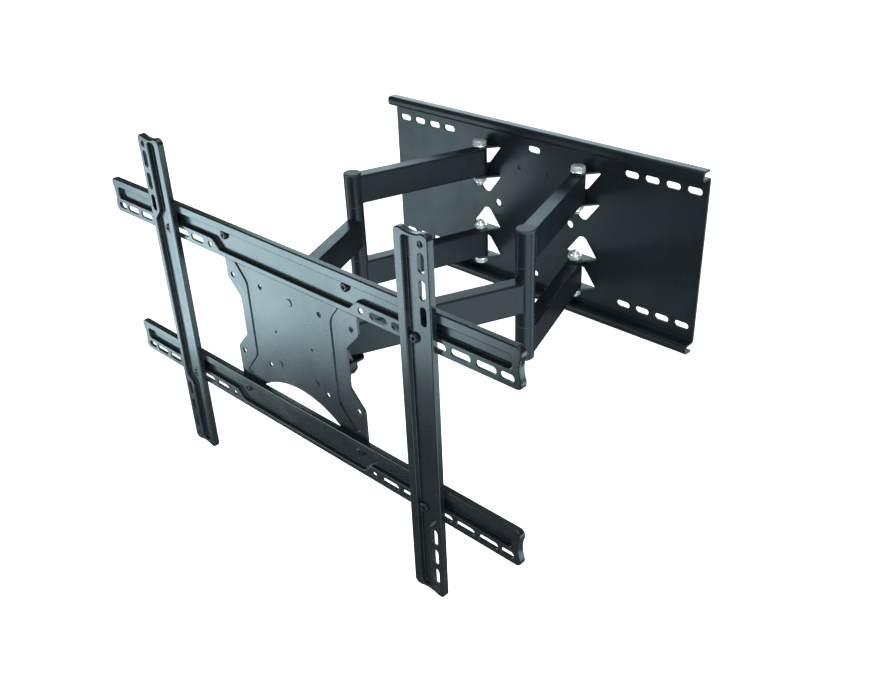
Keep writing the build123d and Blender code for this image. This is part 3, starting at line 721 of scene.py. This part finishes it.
def washer_group(name, node, axis, size, body, material=zinc):
    """Punched washers for every solid of a node, with broken edges."""
    group = bmesh.new()
    bore = size.washer_bore
    for low, high in solids(node):
        sheet = high[axis] - low[axis]
        outer = (high - low)[(axis + 1) % 3] / 2.0
        broken = min(BROKEN_EDGE, sheet * BROKEN_SHARE)
        profile = [
            (bore, 0.0),
            (outer - broken, 0.0),
            (outer, broken),
            (outer, sheet - broken),
            (outer - broken, sheet),
            (bore + broken, sheet),
            (bore, sheet - broken),
            (bore, 0.0),
        ]
        washer = bmesh.new()
        turn(washer, profile)
        seat = (low + high) / 2.0
        seat[axis] = low[axis]
        lay(washer, seat, along_axis(axis, 1.0))
        join(group, washer)
    return piece(name, group, material, body, [node])


washer_group("wall_washers", "wall_pivot_washers", AXIS_Z, M10, "wall")
washer_group("swivel_washers", "head_pivot_washers", AXIS_Z, M10, "bracket")

# %% [markdown]
# ## Tilt bolts and rail nuts
#
# The head nods on two M8 bolts that lie along the tilt axis. The bolts are black, as they would glint
# beside the screen, while their lock nuts hide in the arm bracket and are plain zinc. Nylon friction
# washers between lug and cheek hold the screen at its angle. The rails' nuts are plain hexagons,
# chamfered on both faces.

# %% Tilt fasteners
M8 = BoltSize(
    shank=0.004,
    flats=0.013,
    head=0.0053,
    thread=0.009,
    pitch=0.00125,
    nut_bore=0.0039,
    washer_bore=0.00405,
)
bolt_group("nod_bolts", "tilt_bolts", AXIS_X, outwards(AXIS_X), M8, "bracket", oxide)
nut_group("nod_nuts", "tilt_nuts", AXIS_X, inwards(AXIS_X), M8, "bracket")
washer_group("nod_washers", "tilt_washers", AXIS_X, M8, "bracket", nylon)


# %% Plain nuts
M6_FLATS = 0.010
M6_NUT_BORE = 0.0029


def plain_nut_group(name, node):
    """Plain M6 nuts for every solid of a node, on axes that run back to the wall."""
    group = bmesh.new()
    for low, high in solids(node):
        nut = bmesh.new()
        hexagon(nut, M6_FLATS, high.y - low.y, bore=M6_NUT_BORE, chamfer_foot=True)
        middle = (low + high) / 2.0
        lay(nut, (middle.x, low.y, middle.z), (0.0, 1.0, 0.0))
        join(group, nut)
    return piece(name, group, oxide, "head", [node])


plain_nut_group("rail_hex_nuts", "rail_nuts")
plain_nut_group("upright_hex_nuts", "upright_nuts")

# %% [markdown]
# ## Weld beads
#
# Each arm is a rectangular tube welded to a round sleeve at the elbow. The weld runs down both sides,
# in the shallow corner where the tube's flat side meets the sleeve. A bead is a row of overlapping
# ripples with round ends, so it is modelled as a turned rod whose radius swells and sinks, sunk in
# the corner so that only its crown stands out. It is painted with the arm, and moves with it.

# %% Beads
TUBE_HALF_WIDTH = 0.010
FRONT_TUBE_HALF_HEIGHT = 0.0195
# A rear arm's sleeve stands past its tube by these lengths, towards mid height and away from it.
REAR_SLEEVE_INNER_END = 0.003
REAR_SLEEVE_OUTER_END = 0.0005
BEAD_RADIUS = 0.0014
BEAD_RIPPLE = 0.0018
BEAD_SWELL = 0.10
BEAD_STANDOFF = 0.0002
BEAD_MARGIN = 0.0025
STEPS_PER_RIPPLE = 4
BEAD_SIDES = 12


def bead(mesh, place, low, high):
    """Adds an upright rippled rod between two heights."""
    steps = STEPS_PER_RIPPLE * round((high - low) / BEAD_RIPPLE)
    profile = [(0.0, low)]
    for step in range(1, steps):
        swell = 1.0 + BEAD_SWELL * math.sin(2.0 * math.pi * step / STEPS_PER_RIPPLE)
        end = min(step, steps - step) / STEPS_PER_RIPPLE
        rounded = math.sqrt(min(1.0, end))
        profile.append((BEAD_RADIUS * swell * rounded, low + (high - low) * step / steps))
    profile.append((0.0, high))
    rod = bmesh.new()
    turn(rod, profile, BEAD_SIDES)
    bmesh.ops.translate(rod, verts=rod.verts[:], vec=place)
    join(mesh, rod)


def axis_of(node, side):
    """The plan place of an upright solid on one side of the mount."""
    for low, high in solids(node):
        middle = (low + high) / 2.0
        if middle.x * side > 0:
            return Vector((middle.x, middle.y, 0.0))


def weld(name, body, elbow, far, heights):
    """Beads on both sides of an arm, where its tube meets the sleeve at the elbow."""
    low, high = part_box(elbow)
    sleeve = (high.x - low.x) / 2.0
    bottom, top = sorted(heights)
    middle = (low + high) / 2.0
    middle.z = 0.0
    along = (far - middle).normalized()
    across = Vector((-along.y, along.x, 0.0))
    reach = math.sqrt(sleeve * sleeve - TUBE_HALF_WIDTH * TUBE_HALF_WIDTH)
    beads = bmesh.new()
    for way in (-1.0, 1.0):
        place = middle + along * reach + across * way * (TUBE_HALF_WIDTH - BEAD_STANDOFF)
        bead(beads, place, bottom + BEAD_MARGIN, top - BEAD_MARGIN)
    return piece(name, beads, arm_coat, body)


def weld_arms():
    """Welds of both sides' two rear arms and one front arm."""
    for word, side in (("left", -1), ("right", 1)):
        caps = word + "_elbow_caps"
        wall_axis = axis_of("wall_pivot_bolts", side)
        head_axis = axis_of("head_pivot_bolts", side)
        for level, way in (("upper", 1), ("lower", -1)):
            low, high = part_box(word + "_" + level + "_rear_arm")
            inner, outer = (low.z, high.z) if way > 0 else (high.z, low.z)
            tube = (inner + way * REAR_SLEEVE_INNER_END, outer - way * REAR_SLEEVE_OUTER_END)
            weld(word + "_" + level + "_rear_weld", word + "_rear", caps, wall_axis, tube)
        tube = (-FRONT_TUBE_HALF_HEIGHT, FRONT_TUBE_HALF_HEIGHT)
        weld(word + "_front_weld", word + "_front", caps, head_axis, tube)


weld_arms()

# %% [markdown]
# ## Sweep and light
#
# Black semi-gloss steel has almost no colour of its own: it shows what it reflects. So the light is
# planned as a set of things to see in it. The mount stands over a pale sweep, a floor that curves up
# into a wall all round. It lights the steel but is kept out of its reflections. What the steel
# reflects is a dim room and a few soft boxes, each placed where one group of faces mirrors it: one
# low on the left for the middle of the head, a small near one for the head's right end, one behind
# for the tops of the arms, one overhead for the bolts, and ones low on the other sides, so that the
# steel also reads from the right, from behind and from above.

# %% Sweep
SWEEP_DROP = 1.2
SWEEP_RADIUS = 7.0
SWEEP_CORNER = 3.0
SWEEP_HEIGHT = 5.0
SWEEP_GLOW = 0.55
CORNER_STEPS = 12
SWEEP_STEPS = 96


def sweep_paint():
    """A pale, even paint that glows a little, with the faintest cloud in it."""
    finish = Finish("sweep_paint")
    cloud = finish.noise(1.5, 2.0)
    colour = finish.mix(cloud, (0.80, 0.81, 0.81, 1.0), (0.84, 0.84, 0.84, 1.0))
    surface = {
        "Base Color": colour,
        "Roughness": 0.9,
        "Emission Color": (1.0, 1.0, 1.0, 1.0),
        "Emission Strength": SWEEP_GLOW,
    }
    finish.fill(finish.surface, surface)
    return finish.material


def add_sweep():
    """A wide floor below the lowest piece, which curves up into a wall all round."""
    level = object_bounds()[0][2] - SWEEP_DROP
    profile = [(0.0, level), (SWEEP_RADIUS - SWEEP_CORNER, level)]
    for step in range(1, CORNER_STEPS + 1):
        rise = math.pi / 2 * step / CORNER_STEPS
        radius = SWEEP_RADIUS - SWEEP_CORNER * (1 - math.sin(rise))
        profile.append((radius, level + SWEEP_CORNER * (1 - math.cos(rise))))
    profile.append((SWEEP_RADIUS, level + SWEEP_HEIGHT))
    mesh = bmesh.new()
    turn(mesh, profile, SWEEP_STEPS)
    bmesh.ops.recalc_face_normals(mesh, faces=mesh.faces[:])
    data = bpy.data.meshes.new("sweep")
    mesh.to_mesh(data)
    mesh.free()
    for face in data.polygons:
        face.use_smooth = True
    data.materials.append(sweep_paint())
    sweep = bpy.data.objects.new("sweep", data)
    bpy.context.scene.collection.objects.link(sweep)
    sweep.visible_glossy = False
    sweep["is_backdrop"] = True
    return sweep


print(add_sweep().name, "lies", SWEEP_DROP, "m below the lowest piece")


# %% Soft boxes
def soft_box(name, place, target, width, height, power, colour):
    """A rectangular soft light at a place, aimed at a target and not seen itself."""
    data = bpy.data.lights.new(name, "AREA")
    data.shape = "RECTANGLE"
    data.size = width
    data.size_y = height
    data.energy = power
    data.color = colour
    light = bpy.data.objects.new(name, data)
    bpy.context.scene.collection.objects.link(light)
    aim = (Vector(target) - Vector(place)).to_track_quat("-Z", "Y").to_matrix().to_4x4()
    light.matrix_world = Matrix.Translation(place) @ aim
    light.visible_camera = False
    return light


def sun(name, direction, strength, angle):
    """Even light from a direction, soft by its angle."""
    data = bpy.data.lights.new(name, "SUN")
    data.energy = strength
    data.angle = angle
    light = bpy.data.objects.new(name, data)
    bpy.context.scene.collection.objects.link(light)
    light.matrix_world = Vector(direction).to_track_quat("Z", "Y").to_matrix().to_4x4()
    return light


AIM = (0.0, -0.3, -0.02)
COOL = (0.66, 0.91, 1.0)
PALE = (0.88, 0.98, 1.0)
SUN_DIRECTION = (0.35, -0.55, 0.9)
SUN_STRENGTH = 1.8
SUN_ANGLE = math.radians(40.0)

# Each soft box has its place, its width and height, its power in watts and its colour.
SOFT_BOXES = {
    "low_left_box": ((-1.52, -1.44, -0.65), 0.76, 0.68, 13.2, COOL),
    "near_front_box": ((-0.30, -0.95, -0.17), 0.36, 0.4, 2.3, COOL),
    "low_right_box": ((1.50, -0.75, -0.60), 1.7, 0.9, 26.0, COOL),
    "back_left_box": ((-1.2, 1.4, 0.78), 1.8, 0.9, 20.0, COOL),
    "low_back_left_box": ((-1.3, 1.4, -0.5), 1.2, 1.0, 12.0, COOL),
    "low_back_right_box": ((1.45, 0.95, -0.7), 1.2, 0.9, 14.0, COOL),
    "overhead_box": ((0.0, 0.1, 1.7), 1.4, 1.0, 14.0, PALE),
}
for box_name, (box_place, box_width, box_height, box_power, box_colour) in SOFT_BOXES.items():
    soft_box(box_name, box_place, AIM, box_width, box_height, box_power, box_colour)
sun("over_the_shoulder", SUN_DIRECTION, SUN_STRENGTH, SUN_ANGLE)
print(len(SOFT_BOXES), "soft boxes, a sun and a sweep")

# %% World
ROOM_COLOUR = (0.9, 0.97, 1.0, 1.0)
ROOM_STRENGTH = 0.15


def add_world():
    """A dim, slightly cool room around the sweep."""
    world = bpy.data.worlds.new("room")
    bpy.context.scene.world = world
    world.use_nodes = True
    background = world.node_tree.nodes["Background"]
    background.inputs["Color"].default_value = ROOM_COLOUR
    background.inputs["Strength"].default_value = ROOM_STRENGTH


add_world()
bpy.context.scene.view_settings.view_transform = "Standard"
print("room light:", ROOM_STRENGTH)
